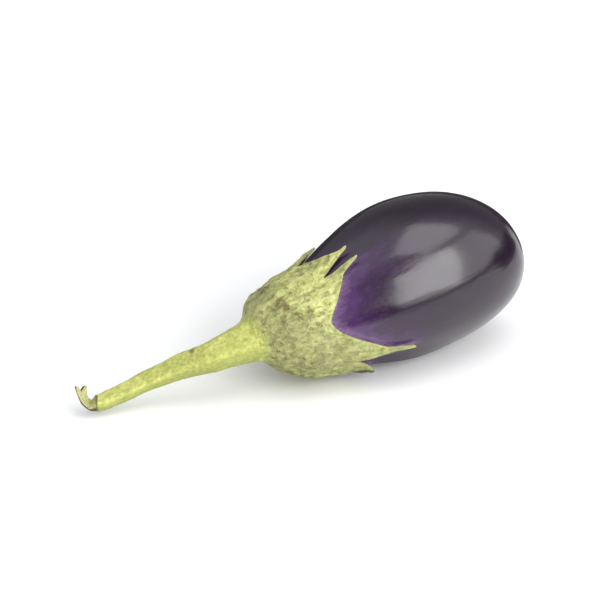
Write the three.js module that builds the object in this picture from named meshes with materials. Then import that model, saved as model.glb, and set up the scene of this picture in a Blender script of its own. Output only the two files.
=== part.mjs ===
// A small oval purple eggplant, picked with its stem and lying on its side.
//
// Millimetres, +Z up. The origin is the middle of the small flat spot that the
// fruit rests on. +X runs under the fruit towards its blossom end, and the stem
// trails towards -X with its torn tip just clear of the same surface.
//
// Three solids make it up: the fruit, the calyx, which is a cup of fused sepals
// pressed over the fruit's shoulder, and the stem that stands on the calyx.
import * as THREE from "three";

// ---- Driving dimensions, in millimetres and degrees ----

const FRUIT_REACH = 74; // from the stem joint to the blossom end, along the axis
const FRUIT_RADIUS = 20; // at the widest
const WIDEST_AT = 44; // all these distances are measured from the stem joint
const SHOULDER_AT = 13;
const SHOULDER_RADIUS = 12.4;
const BLOSSOM_BEND = 3.8; // how far the blossom end leans out of line
const BEND_FROM = 38;
const BEND_TOWARDS = 138; // angle round the axis: 0 up, 90 towards -Y, 180 down
const NECK_LEAN = 2.4; // how far the neck leans over to the stem
const NECK_FROM = 18;
const NECK_TOWARDS = -20;

const OVALITY = 0.012; // how far from round, as shares of the radius
const OVAL_TURN = 0.5; // in radians
const SEED_CHAMBERS = 5;
const SWELLING = 0.008; // the seed chambers swell the shoulder by this
const SWELLING_TURN = 0.9; // in radians
const SWELLING_AT = 20;
const SWELLING_LENGTH = 16;

const AXIS_TILT = 9.5; // the axis climbs by this from the stem to the blossom end
const REST_DEPTH = 0.55; // how much of the round belly the flat spot takes off

const SCAR_RADIUS = 2.6; // the corky scar that the flower left
const SCAR_HEIGHT = 0.35;

const FIT_GAP = 0.3; // clearance between neighbouring solids
const CALYX_THICK = 1.15;
const CALYX_CROWN_THICK = 3; // where the stem stands on it
const CALYX_TIP_THICK = 0.65;
const RIB_HEIGHT = 0.5; // the ridge down the middle of each sepal
const RIB_WIDTH = 0.3; // as a share of half the sepal's width
const COLLAR_AT = 12; // where the crown of the calyx turns into its wall
const CREASE_RISE = 1.5; // how steeply the crown leaves the foot of the stem
const CROWN_FULLNESS = 0.82; // how far out its shoulder bulges, against the collar
const CROWN_BULGE_AT = 4.2;
const HEEL_TOWARDS = -80; // on this side the crown is squarer: it bulges sooner,
const HEEL_BULGE_AT = 2.8;
const HEEL_LEAVES = [0.4, 3.1]; // after leaving the stem this far along and out
const ROOT_MARGIN = 0.2; // a midrib keeps this share of its sepal on either side
const SEPAL_SPREAD = 1.25; // how far the outline's points gather near the tips
const TIP_HALF_WIDTH = 0.65; // of a sepal's slender tip
const TIP_SHARPNESS = 0.4; // 0 would be square and 1 a plain point
const TIP_FROM = 0.1; // the slender part takes over between these shares of the length
const TIP_FULL = 0.6;

const STEM_FOOT_RADIUS = 5.5;
const STEM_FAR_RADIUS = 1.45; // what the taper would come to on a longer stem
const STEM_TAPER = 22.5; // the distance in which most of the taper is made
const STEM_SQUARE_TO = 8; // the foot stands square on the calyx and turns from there
const STEM_RIBS = 5;
const STEM_RIB_DEPTH = 0.05; // as a share of the radius
const TEAR_LENGTH = 1.2; // how far the slope of the torn end reaches
const TONGUE_HALF_WIDTH = 1.7; // the strip of bark left where the stem tore off
const TONGUE_HALF_THICK = 0.45;

// The sepals in order round the fruit. Each starts at the notch it shares with
// the one before it (an angle, and how far down the fruit the notch is), and
// runs out to its own tip. blade is the share of its length before the slender
// tip. before and after say how full the blade is on its two sides, where less
// than 1 is hollow and more is rounded. lift is how far the tip stands off.
const SEPALS = [
  { from: -24, notch: 16.1, tipAngle: 7, tip: 27.4, blade: 0.85, before: 0.68, after: 0.67, lift: 1 },
  { from: 18, notch: 18.8, tipAngle: 20.5, tip: 27.8, blade: 0.73, before: 0.8, after: 0.92, lift: 1.2 },
  { from: 61.5, notch: 14.9, tipAngle: 109, tip: 33.8, blade: 0.74, before: 0.62, after: 1, lift: 0.3 },
  { from: 120.5, notch: 18.9, tipAngle: 137, tip: 24.6, blade: 1, before: 2.2, after: 1.3, lift: 1.1 },
  { from: 166, notch: 17, tipAngle: 196, tip: 24.4, blade: 0.85, before: 0.8, after: 0.8, lift: 0 },
  { from: 228, notch: 16, tipAngle: 262, tip: 31, blade: 0.76, before: 0.75, after: 0.75, lift: 0.2 },
  { from: 288, notch: 17.5, tipAngle: 306, tip: 26.6, blade: 0.8, before: 0.8, after: 0.8, lift: 0 },
];

// The middle of the stem, from its foot out, as [along -X, along +Y, down].
const STEM_ROUTE = [
  [0, 0, 0],
  [11.8, 2.0, 2.65],
  [18.4, 5.2, 5.1],
  [25.5, 7.6, 7.7],
  [33.0, 8.8, 9.9],
  [39.3, 9.9, 11.35],
];
const TONGUE_ROUTE = [
  [41.0, 10.6, 10.05],
  [42.0, 11.6, 5.45],
];

// ---- Fineness of the faceted surfaces ----

const FRUIT_COLUMNS = 48;
const FRUIT_ROWS = 34;
const SEPAL_COLUMNS = 18; // for each sepal
const CROWN_ROWS = 7;
const SEPAL_ROWS = 6;
const LINING_ROWS = 4;
const STEM_COLUMNS = 20;
const STEM_ROWS = 40;

const CROWN_AT = CALYX_CROWN_THICK + 2 * FIT_GAP; // the top of the fruit, under the calyx

// ---- The axis that everything is built round ----

const tilt = THREE.MathUtils.degToRad(AXIS_TILT);
const alongAxis = new THREE.Vector3(Math.cos(tilt), 0, Math.sin(tilt));
const upFromAxis = new THREE.Vector3(-Math.sin(tilt), 0, Math.cos(tilt));
const sideOfAxis = new THREE.Vector3(0, -1, 0);

// The direction square to the axis at an angle round it, in degrees.
function outwards(angle) {
  const a = THREE.MathUtils.degToRad(angle);
  return upFromAxis
    .clone()
    .multiplyScalar(Math.cos(a))
    .addScaledVector(sideOfAxis, Math.sin(a));
}

// The middle line leans a little away from the straight axis at both ends.
function bendAt(s) {
  const past = Math.max(0, (s - BEND_FROM) / (FRUIT_REACH - BEND_FROM));
  const short = Math.max(0, 1 - s / NECK_FROM);
  return outwards(BEND_TOWARDS)
    .multiplyScalar(BLOSSOM_BEND * past * past)
    .addScaledVector(outwards(NECK_TOWARDS), NECK_LEAN * short * short);
}

// Evenly spaced shares from 0 to 1.
const sharesTo = (count) => Array.from({ length: count + 1 }, (_, i) => i / count);

// ---- Outlines, as (distance from the stem joint, radius) ----

const curve = (...points) =>
  new THREE.CubicBezierCurve(...points.map((p) => new THREE.Vector2(...p)));

// The fruit: over its hidden crown, along the shoulder, and round the blunt end.
const fruitOutline = [
  curve(
    [CROWN_AT, 0],
    [CROWN_AT, 0.55 * SHOULDER_RADIUS],
    [CROWN_AT + 1.9, 0.94 * SHOULDER_RADIUS],
    [SHOULDER_AT, SHOULDER_RADIUS],
  ),
  curve(
    [SHOULDER_AT, SHOULDER_RADIUS],
    [SHOULDER_AT + 8, SHOULDER_RADIUS + 1.2],
    [WIDEST_AT - 12, FRUIT_RADIUS],
    [WIDEST_AT, FRUIT_RADIUS],
  ),
  curve(
    [WIDEST_AT, FRUIT_RADIUS],
    [WIDEST_AT + 16, FRUIT_RADIUS],
    [FRUIT_REACH, 0.69 * FRUIT_RADIUS],
    [FRUIT_REACH, 0],
  ),
];

// The crown of the calyx at an angle: out from the foot of the stem, where there
// is a slight crease, and over its full shoulder to the collar.
const collarRadius = fruitRadiusAt(COLLAR_AT) + FIT_GAP + CALYX_THICK;
function crownOutline(angle) {
  const { degToRad, lerp } = THREE.MathUtils;
  const heel = (1 + Math.cos(degToRad(angle - HEEL_TOWARDS))) / 2;
  const [along, out] = HEEL_LEAVES.map((reach) => lerp(CREASE_RISE, reach, heel));
  return curve(
    [FIT_GAP, STEM_FOOT_RADIUS],
    [FIT_GAP + along, STEM_FOOT_RADIUS + out],
    [lerp(CROWN_BULGE_AT, HEEL_BULGE_AT, heel), CROWN_FULLNESS * collarRadius],
    [COLLAR_AT, collarRadius],
  );
}

// The radius of the fruit at a distance along it, by halving the stretch.
function fruitRadiusAt(s) {
  const piece = fruitOutline.find((c) => s <= c.v3.x) ?? fruitOutline.at(-1);
  let low = 0;
  let high = 1;
  for (let i = 0; i < 40; i++) {
    const middle = (low + high) / 2;
    if (piece.getPoint(middle).x < s) low = middle;
    else high = middle;
  }
  return piece.getPoint(low).y;
}

// A real fruit isn't round: it is a little oval, and the five seed chambers
// show as faint swellings on the shoulder.
function unevenness(s, angle) {
  const a = THREE.MathUtils.degToRad(angle);
  const shoulder = Math.exp(-(((s - SWELLING_AT) / SWELLING_LENGTH) ** 2));
  const oval = OVALITY * Math.cos(2 * (a - OVAL_TURN));
  const swollen = SWELLING * Math.cos(SEED_CHAMBERS * a + SWELLING_TURN);
  return 1 + oval + shoulder * swollen;
}

// A point at a distance s along the axis, at an angle round it, and at a
// radius from the fruit's own middle line.
function place(s, angle, radius) {
  return new THREE.Vector3()
    .addScaledVector(alongAxis, s)
    .add(bendAt(s))
    .addScaledVector(outwards(angle), radius);
}

const onFruit = (s, angle, proud = 0) =>
  place(s, angle, fruitRadiusAt(s) * unevenness(s, angle) + proud);

// ---- Where the eggplant stands ----

// The lowest line of the belly, before the flat spot is pressed into it.
function lowestOfBelly() {
  let lowest = new THREE.Vector3(0, 0, Infinity);
  for (let s = SHOULDER_AT; s < FRUIT_REACH; s += 0.25)
    for (let angle = 150; angle <= 210; angle += 1) {
      const p = onFruit(s, angle);
      if (p.z < lowest.z) lowest = p;
    }
  return lowest;
}

const belly = lowestOfBelly();
const stemJoint = new THREE.Vector3(-belly.x, -belly.y, -REST_DEPTH - belly.z);

// Moves a point into the part's frame, and presses flat what would reach
// below the surface that it lies on.
function settle(p) {
  p.add(stemJoint);
  p.z = Math.max(p.z, 0);
  return p;
}

// ---- Surfaces ----

// A closed solid from rings of points, each ring running once round the part.
// The first and last entries are single points, which close its two ends.
function closedSurface(first, rings, last) {
  const columns = rings[0].length;
  const points = [first, ...rings.flat(), last];
  const at = (ring, column) => 1 + ring * columns + (column % columns);
  const faces = [];
  for (let c = 0; c < columns; c++) {
    faces.push(0, at(0, c + 1), at(0, c));
    for (let r = 0; r + 1 < rings.length; r++)
      faces.push(
        ...[at(r, c), at(r + 1, c + 1), at(r + 1, c)],
        ...[at(r, c), at(r, c + 1), at(r + 1, c + 1)],
      );
    const end = rings.length - 1;
    faces.push(points.length - 1, at(end, c), at(end, c + 1));
  }
  const geometry = new THREE.BufferGeometry().setFromPoints(points);
  geometry.setIndex(faces);
  geometry.computeVertexNormals();
  return geometry;
}

// ---- The fruit ----

// The flower's scar is a low corky button on the blossom end.
function scarHeight(fromPole) {
  return SCAR_HEIGHT * (1 - THREE.MathUtils.smoothstep(fromPole, 0.6, 1));
}

function fruitGeometry() {
  const rings = [];
  for (let r = 1; r < FRUIT_ROWS; r++) {
    // Rows crowd together at both ends, where the outline turns fast.
    const t = (1 - Math.cos((Math.PI * r) / FRUIT_ROWS)) / 2;
    const piece = fruitOutline[Math.min(2, Math.floor(3 * t))];
    const { x: s, y: radius } = piece.getPoint(3 * t - fruitOutline.indexOf(piece));
    const ring = [];
    for (let c = 0; c < FRUIT_COLUMNS; c++) {
      const angle = (360 * c) / FRUIT_COLUMNS;
      const proud = s > WIDEST_AT ? scarHeight(radius / SCAR_RADIUS) : 0;
      const p = place(s + proud, angle, radius * unevenness(s, angle));
      ring.push(settle(p));
    }
    rings.push(ring);
  }
  const crown = settle(place(CROWN_AT, 0, 0));
  const blossomEnd = settle(place(FRUIT_REACH + SCAR_HEIGHT, 0, 0));
  return closedSurface(crown, rings, blossomEnd);
}

// ---- The calyx ----

// One column of the calyx: the sepal it is on, its place on that sepal's
// outline, from -1 and 1 at the two notches to 0 at the tip, and its root.
function calyxColumns() {
  return SEPALS.flatMap((sepal, i) => {
    const lastOne = i + 1 === SEPALS.length;
    const next = SEPALS[(i + 1) % SEPALS.length];
    const to = next.from + (lastOne ? 360 : 0);
    const margin = ROOT_MARGIN * (to - sepal.from);
    const midrib = THREE.MathUtils.clamp(sepal.tipAngle, sepal.from + margin, to - margin);
    return Array.from({ length: SEPAL_COLUMNS }, (_, c) => {
      const across = -1 + (2 * c) / SEPAL_COLUMNS;
      const edge = across < 0 ? sepal.from : to;
      return {
        sepal,
        across,
        edge,
        notch: across < 0 ? sepal.notch : next.notch,
        fullness: across < 0 ? sepal.before : sepal.after,
        angle: THREE.MathUtils.lerp(midrib, edge, Math.abs(across)),
        root: THREE.MathUtils.lerp(sepal.notch, next.notch, (across + 1) / 2),
      };
    });
  });
}

// A place on a sepal: out is 0 at its root and 1 on its outline.
function onSepal(column, out) {
  const { sepal, across, edge, notch, angle, root, fullness } = column;
  const climb = 1 - Math.abs(across) ** SEPAL_SPREAD; // along the outline, notch to tip
  const blade = 1 - Math.min(1, climb / sepal.blade) ** fullness;
  const slender = THREE.MathUtils.radToDeg(TIP_HALF_WIDTH / fruitRadiusAt(sepal.tip));
  const taking = THREE.MathUtils.smoothstep(climb, TIP_FROM, TIP_FULL);
  const narrow = slender * (1 - climb) ** TIP_SHARPNESS * taking;
  const half = Math.hypot(blade * (edge - sepal.tipAngle), narrow); // in degrees
  const outline = {
    s: THREE.MathUtils.lerp(notch, sepal.tip, climb),
    angle: sepal.tipAngle + Math.sign(edge - sepal.tipAngle) * half,
  };
  return {
    s: THREE.MathUtils.lerp(root, outline.s, out),
    angle: THREE.MathUtils.lerp(angle, outline.angle, out),
    share: out * climb,
  };
}

// The ridge down a sepal's middle, which fades towards its edges and its tip.
function ribAt(across, share) {
  return RIB_HEIGHT * (1 - share) * Math.exp(-((across / RIB_WIDTH) ** 2));
}

const liftAt = (column, share) => column.sepal.lift * share ** 2;

function calyxGeometry() {
  const columns = calyxColumns();
  const rings = [];
  const addRing = (placed) => rings.push(columns.map((c) => settle(placed(c))));

  // Outside: the crown, from the foot of the stem to the collar.
  for (const t of sharesTo(CROWN_ROWS))
    addRing(({ angle, across }) => {
      const { x: s, y: radius } = crownOutline(angle).getPoint(t);
      const proud = ribAt(across, 0) * t ** 2;
      return place(s, angle, radius * unevenness(s, angle) + proud);
    });
  // Outside: down to the roots of the sepals, and along them to their outline.
  addRing(({ angle, across, root }) => {
    const proud = FIT_GAP + CALYX_THICK + ribAt(across, 0);
    return onFruit((COLLAR_AT + root) / 2, angle, proud);
  });
  for (const out of sharesTo(SEPAL_ROWS))
    addRing((column) => {
      const { s, angle, share } = onSepal(column, out);
      const thick = THREE.MathUtils.lerp(CALYX_THICK, CALYX_TIP_THICK, out);
      const proud = FIT_GAP + thick + ribAt(column.across, share);
      return onFruit(s, angle, proud + liftAt(column, share));
    });
  // Inside: back from the outline to the roots, just clear of the fruit.
  for (const out of sharesTo(LINING_ROWS).reverse())
    addRing((column) => {
      const { s, angle, share } = onSepal(column, out);
      return onFruit(s, angle, FIT_GAP + liftAt(column, share));
    });
  // Inside: over the crown of the fruit.
  for (const t of sharesTo(CROWN_ROWS).slice(1).reverse())
    addRing(({ angle }) => {
      const { x: s, y: radius } = fruitOutline[0].getPoint(t);
      const inward = FIT_GAP * (1 - t) ** 0.5;
      const wide = radius * unevenness(s, angle) + FIT_GAP * t ** 0.5;
      return place(s - inward, angle, wide);
    });
  const top = settle(place(FIT_GAP, 0, 0));
  const hollow = settle(place(CROWN_AT - FIT_GAP, 0, 0));
  return closedSurface(top, rings, hollow);
}

// ---- The stem ----

const routePoint = ([back, side, down]) =>
  new THREE.Vector3(-back, side, -down).add(bendAt(0));
const stemPath = new THREE.CatmullRomCurve3([
  ...STEM_ROUTE.map(routePoint),
  ...TONGUE_ROUTE.map(routePoint),
]);

// Half height, half width and how far the section hangs below the path, at a
// distance along the stem. Past the tear only a tongue of bark is left.
function stemSection(distance, tear) {
  const flare = STEM_FOOT_RADIUS - STEM_FAR_RADIUS;
  const round = STEM_FAR_RADIUS + flare * Math.exp(-distance / STEM_TAPER);
  const torn = THREE.MathUtils.smoothstep(distance, tear, tear + TEAR_LENGTH);
  return {
    high: THREE.MathUtils.lerp(round, TONGUE_HALF_THICK, torn),
    wide: THREE.MathUtils.lerp(round, TONGUE_HALF_WIDTH, torn),
    below: torn * (round - TONGUE_HALF_THICK),
  };
}

function stemGeometry() {
  const length = stemPath.getLength();
  // The path spends as many steps on each stretch of its route.
  const stretches = stemPath.points.length - 1;
  const steps = 100 * stretches;
  const tear = stemPath.getLengths(steps)[100 * (STEM_ROUTE.length - 1)];
  const rings = [];
  for (let r = 0; r <= STEM_ROWS; r++) {
    const t = r / STEM_ROWS;
    const distance = length * t;
    const centre = stemPath.getPointAt(t);
    // The foot sits square on the calyx, and then the section follows the path.
    const free = THREE.MathUtils.smoothstep(distance, 0, STEM_SQUARE_TO);
    const back = alongAxis.clone().negate();
    const ahead = back.lerp(stemPath.getTangentAt(t), free).normalize();
    const side = ahead.clone().cross(new THREE.Vector3(0, 0, 1)).normalize();
    const up = side.clone().cross(ahead);
    const { high, wide, below } = stemSection(distance, tear);
    const ring = [];
    for (let c = 0; c < STEM_COLUMNS; c++) {
      const a = (2 * Math.PI * c) / STEM_COLUMNS;
      const ribbed = 1 + STEM_RIB_DEPTH * Math.cos(STEM_RIBS * a);
      const p = centre
        .clone()
        .addScaledVector(up, Math.cos(a) * high * ribbed - below)
        .addScaledVector(side, Math.sin(a) * wide * ribbed);
      ring.push(settle(p));
    }
    rings.push(ring);
  }
  const middleOf = (ring) =>
    ring
      .reduce((sum, p) => sum.add(p), new THREE.Vector3())
      .divideScalar(ring.length);
  return closedSurface(middleOf(rings[0]), rings, middleOf(rings.at(-1)));
}

// ---- The scene graph ----

function named(name, geometry, material) {
  const mesh = new THREE.Mesh(geometry, material);
  mesh.name = name;
  return mesh;
}

const skin = new THREE.MeshStandardMaterial({
  color: 0x2a1a33,
  roughness: 0.18,
  metalness: 0,
});
const sepalGreen = new THREE.MeshStandardMaterial({
  color: 0xb4bd6c,
  roughness: 0.62,
  metalness: 0,
});
const stemGreen = new THREE.MeshStandardMaterial({
  color: 0xc2cb63,
  roughness: 0.55,
  metalness: 0,
});

const eggplant = new THREE.Group();
eggplant.add(
  named("fruit", fruitGeometry(), skin),
  named("calyx", calyxGeometry(), sepalGreen),
  named("stem", stemGeometry(), stemGreen),
);

export default eggplant;
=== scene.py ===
"""A small oval purple eggplant, lying on its side on a pale table.

The pieces are made again here, finer than the solids of the frame and on the
same driving dimensions. Lengths are in millimetres until a mesh is written,
and distances s run along the fruit's axis from the stem joint.
"""

import math

import bpy
import numpy as np
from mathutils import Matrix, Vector, noise
from mathutils.kdtree import KDTree


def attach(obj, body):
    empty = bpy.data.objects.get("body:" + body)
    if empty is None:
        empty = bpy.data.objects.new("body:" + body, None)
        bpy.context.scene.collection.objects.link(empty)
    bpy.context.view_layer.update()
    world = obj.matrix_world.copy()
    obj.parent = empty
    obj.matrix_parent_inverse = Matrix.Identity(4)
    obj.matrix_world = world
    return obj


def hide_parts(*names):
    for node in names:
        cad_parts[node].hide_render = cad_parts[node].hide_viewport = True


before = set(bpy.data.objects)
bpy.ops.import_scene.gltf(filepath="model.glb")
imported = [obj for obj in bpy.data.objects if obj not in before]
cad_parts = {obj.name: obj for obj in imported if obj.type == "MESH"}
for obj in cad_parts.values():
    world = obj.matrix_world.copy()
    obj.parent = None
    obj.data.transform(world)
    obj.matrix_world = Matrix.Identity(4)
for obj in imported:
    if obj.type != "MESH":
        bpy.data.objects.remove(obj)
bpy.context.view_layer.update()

MM = 0.001
SEED = 7

# ---- The fruit ----

FRUIT_REACH = 74.0  # from the stem joint to the blossom end
FRUIT_RADIUS = 20.0
WIDEST_AT = 44.0
SHOULDER_AT = 13.0
SHOULDER_RADIUS = 12.4
BLOSSOM_BEND = 3.8
BEND_FROM = 38.0
BEND_TOWARDS = 138.0  # angle round the axis: 0 up, 90 towards -Y, 180 down
NECK_LEAN = 2.4  # the neck leans over to the stem
NECK_FROM = 18.0
NECK_TOWARDS = -20.0
OVALITY = 0.012
OVAL_TURN = 0.5
SEED_CHAMBERS = 5  # faint swellings round the shoulder
SWELLING = 0.008
SWELLING_TURN = 0.9
SWELLING_AT = 20.0
SWELLING_LENGTH = 16.0
AXIS_TILT = math.radians(9.5)
REST_DEPTH = 0.55  # how deep the table presses a flat spot into the belly
SCAR_RADIUS = 2.6
SCAR_HEIGHT = 0.35

# ---- The calyx ----

FIT_GAP = 0.3
CALYX_THICK = 1.15
CALYX_CROWN_THICK = 3.0
CALYX_TIP_THICK = 0.65
RIB_HEIGHT = 0.5
RIB_WIDTH = 0.3  # as a share of half the sepal's width
COLLAR_AT = 12.0
CREASE_RISE = 1.5  # how the crown leaves the stem, both along the axis and outwards
CROWN_FULLNESS = 0.82
CROWN_BULGE_AT = 4.2
HEEL_TOWARDS = -80  # on this side the crown is squarer
HEEL_BULGE_AT = 2.8
HEEL_LEAVES = (0.4, 3.1)  # how it leaves the stem there: along the axis, and outwards
ROOT_MARGIN = 0.2
SEPAL_SPREAD = 1.25
TIP_HALF_WIDTH = 0.65  # of a sepal's slender tip
TIP_SHARPNESS = 0.4
TIP_FROM, TIP_FULL = 0.1, 0.6  # the shares of the length over which it comes in
CROWN_AT = CALYX_CROWN_THICK + 2 * FIT_GAP

# Each sepal: the angle and distance of its first notch, its tip's angle and
# distance, the share of its length that its blade takes before the slender
# tip, how full the blade is on its two sides, and how far its tip stands off.
SEPALS = [
    (-24, 16.1, 7, 27.4, 0.85, 0.68, 0.67, 1.0),
    (18, 18.8, 20.5, 27.8, 0.73, 0.8, 0.92, 1.2),
    (61.5, 14.9, 109, 33.8, 0.74, 0.62, 1.0, 0.3),
    (120.5, 18.9, 137, 24.6, 1.0, 2.2, 1.3, 1.1),
    (166, 17.0, 196, 24.4, 0.85, 0.8, 0.8, 0.0),
    (228, 16.0, 262, 31.0, 0.76, 0.75, 0.75, 0.2),
    (288, 17.5, 306, 26.6, 0.8, 0.8, 0.8, 0.0),
]

# ---- The stem ----

STEM_FOOT_RADIUS = 5.5
STEM_FAR_RADIUS = 1.45
STEM_TAPER = 22.5
STEM_RIBS = 5
STEM_RIB_DEPTH = 0.05
TONGUE_HALF_WIDTH = 1.7
TONGUE_HALF_THICK = 0.45
STEM_SQUARE_TO = 8.0  # as far as here the foot turns to the stem's own run
TEAR_LENGTH = 1.2
TEAR_RAGGED = 1.2  # how unevenly the end is torn
TEAR_SLANT = 0.5  # it slants, and reaches further on top
TONGUE_ROLL = math.radians(-14)  # the strip of bark lies a little on its side
TONGUE_GUTTER = 0.7  # how far its edges curl up

# The middle of the stem and of the strip of bark past its torn end, as
# (along -X, along +Y, down) from the middle of its foot.
STEM_ROUTE = [
    (0, 0, 0),
    (11.8, 2.0, 2.65),
    (18.4, 5.2, 5.1),
    (25.5, 7.6, 7.7),
    (33.0, 8.8, 9.9),
    (39.3, 9.9, 11.35),
]
TONGUE_ROUTE = [
    (41.0, 10.6, 10.05),
    (42.0, 11.6, 5.45),
]

# ---- How fine the surfaces are ----

FRUIT_COLUMNS, FRUIT_ROWS = 200, 150
SEPAL_COLUMNS = 52  # for each sepal
FOOT_ROWS, CROWN_ROWS, COLLAR_ROWS, SEPAL_ROWS = 12, 26, 8, 34
EDGE_ROWS, LINING_ROWS = 4, 8
STEM_COLUMNS, STEM_ROWS = 90, 280

# ---- The camera ----

VIEW_AZIMUTH = math.radians(-30.9)
VIEW_ELEVATION = math.radians(31.0)
VIEW_DISTANCE = 1300.0
VIEW_WIDTH = 151.0  # how much of the table the frame takes in, at the eggplant
AIM_AT = (-17.5, 17.3, 9.8)


# ==== Shape formulas, the same as the frame's ====

ALONG = np.array([math.cos(AXIS_TILT), 0.0, math.sin(AXIS_TILT)])
UP_FROM_AXIS = np.array([-math.sin(AXIS_TILT), 0.0, math.cos(AXIS_TILT)])
SIDE_OF_AXIS = np.array([0.0, -1.0, 0.0])


def lerp(a, b, share):
    return a + (b - a) * share


def smoothstep(x, low, high):
    t = np.clip((x - low) / (high - low), 0, 1)
    return t * t * (3 - 2 * t)


def cubic(t, corners):
    """A cubic curve at shares t of the way along it, from its four corner values."""
    weights = (1 - t) ** 3, 3 * t * (1 - t) ** 2, 3 * t**2 * (1 - t), t**3
    return sum(weight * corner for weight, corner in zip(weights, corners))


def bezier(corners, t):
    """A cubic curve as (distance, radius), from its four corner points."""
    return cubic(np.asarray(t, float)[..., None], np.array(corners, float))


FRUIT_OUTLINE = [
    [
        (CROWN_AT, 0),
        (CROWN_AT, 0.55 * SHOULDER_RADIUS),
        (CROWN_AT + 1.9, 0.94 * SHOULDER_RADIUS),
        (SHOULDER_AT, SHOULDER_RADIUS),
    ],
    [
        (SHOULDER_AT, SHOULDER_RADIUS),
        (SHOULDER_AT + 8, SHOULDER_RADIUS + 1.2),
        (WIDEST_AT - 12, FRUIT_RADIUS),
        (WIDEST_AT, FRUIT_RADIUS),
    ],
    [
        (WIDEST_AT, FRUIT_RADIUS),
        (WIDEST_AT + 16, FRUIT_RADIUS),
        (FRUIT_REACH, 0.69 * FRUIT_RADIUS),
        (FRUIT_REACH, 0),
    ],
]


def fruit_outline(t):
    """The fruit's distance and radius at a share t of its outline, 0 to 1."""
    t = np.asarray(t, float) * 3
    piece = np.clip(np.floor(t).astype(int), 0, 2)
    return np.stack([bezier(FRUIT_OUTLINE[k], x - k) for k, x in zip(piece, t)])


OUTLINE_POINTS = fruit_outline(np.linspace(0, 1, 3001))


def fruit_radius(s):
    return np.interp(s, OUTLINE_POINTS[:, 0], OUTLINE_POINTS[:, 1])


def outwards(angle):
    """The direction square to the axis, at an angle round it."""
    a = np.radians(angle)[..., None]
    return UP_FROM_AXIS * np.cos(a) + SIDE_OF_AXIS * np.sin(a)


def bend(s):
    """How far the middle line lies from the straight axis."""
    past = np.clip((s - BEND_FROM) / (FRUIT_REACH - BEND_FROM), 0, None)[..., None]
    short = np.clip(1 - s / NECK_FROM, 0, None)[..., None]
    blossom = outwards(np.array(BEND_TOWARDS)) * BLOSSOM_BEND * past**2
    return blossom + outwards(np.array(NECK_TOWARDS)) * NECK_LEAN * short**2


def unevenness(s, angle):
    """Slightly oval, with a faint swelling on the shoulder over each seed chamber."""
    a = np.radians(angle)
    shoulder = np.exp(-(((s - SWELLING_AT) / SWELLING_LENGTH) ** 2))
    oval = OVALITY * np.cos(2 * (a - OVAL_TURN))
    return 1 + oval + SWELLING * shoulder * np.cos(SEED_CHAMBERS * a + SWELLING_TURN)


def skin_radius(s, angle):
    return fruit_radius(s) * unevenness(s, angle)


def signed(angle):
    """The same angle, between -180 and 180."""
    return (angle + 180) % 360 - 180


def place(s, angle, radius):
    """A point at distance s, at an angle round the axis, radius from its middle line."""
    s, angle, radius = np.broadcast_arrays(s, angle, radius)
    return ALONG * s[..., None] + bend(s) + outwards(angle) * radius[..., None]


def on_axis(s):
    """The point of the fruit's middle line at one distance."""
    return place(np.array(s), np.array(0.0), np.array(0.0))


def on_fruit(s, angle):
    return place(s, angle, skin_radius(s, angle))


def stem_joint():
    """Where the stem joint lies, for the belly to rest on the table."""
    s, angle = np.meshgrid(np.arange(SHOULDER_AT, FRUIT_REACH, 0.25), np.arange(150, 211))
    under = on_fruit(s, angle).reshape(-1, 3)
    belly = under[under[:, 2].argmin()]
    return -belly - [0, 0, REST_DEPTH]


JOINT = stem_joint()


def settle(points):
    """Moves points into the frame, and presses flat what would reach below the table."""
    points = points + JOINT
    points[..., 2] = np.maximum(points[..., 2], 0)
    return points


# ==== Meshes ====


def noise_at(points, size, seed=0.0):
    """Soft noise, about -1 to 1, with features of that size in millimetres."""
    flat = points.reshape(-1, 3) / size + seed
    values = [noise.noise(Vector(p)) for p in flat]
    return np.array(values).reshape(points.shape[:-1])


def cells_at(points, size, seed=0.0):
    """0 on the walls between cells of that size, rising to 1 inside them."""
    flat = points.reshape(-1, 3) / size + seed
    nearest = [noise.voronoi(Vector(p))[0] for p in flat]
    walls = np.array([near[1] - near[0] for near in nearest])
    return np.clip(walls.reshape(points.shape[:-1]) / 0.5, 0, 1)


def add_object(name, data):
    piece = bpy.data.objects.new(name, data)
    bpy.context.collection.objects.link(piece)
    return piece


def store(mesh, layer, values):
    """Keeps a value for each point of a mesh."""
    attribute = mesh.attributes.new(layer, "FLOAT", "POINT")
    attribute.data.foreach_set("value", np.asarray(values, np.float32))


def closed_surface(name, first, rings, last, layers, material):
    """A closed mesh from rings of points, with a value on every point for each layer."""
    count, columns = rings.shape[:2]
    points = np.concatenate([first[None], rings.reshape(-1, 3), last[None]]) * MM
    ring = 1 + np.arange(count)[:, None] * columns
    here = ring + np.arange(columns)
    beside = ring + (np.arange(columns) + 1) % columns
    quads = np.stack([here[:-1], beside[:-1], beside[1:], here[1:]], axis=-1).reshape(-1, 4)
    start = np.stack([np.zeros(columns, int), beside[0], here[0]], axis=-1)
    end = np.stack([np.full(columns, len(points) - 1), here[-1], beside[-1]], axis=-1)
    mesh = bpy.data.meshes.new(name)
    mesh.from_pydata(points.tolist(), [], quads.tolist() + start.tolist() + end.tolist())
    for layer, values in layers.items():
        at_first, at_last = values[0].mean(), values[-1].mean()
        store(mesh, layer, np.concatenate([[at_first], values.reshape(-1), [at_last]]))
    mesh.shade_smooth()
    mesh.materials.append(material)
    return add_object(name, mesh)


# ==== The calyx's outline ====


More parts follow.
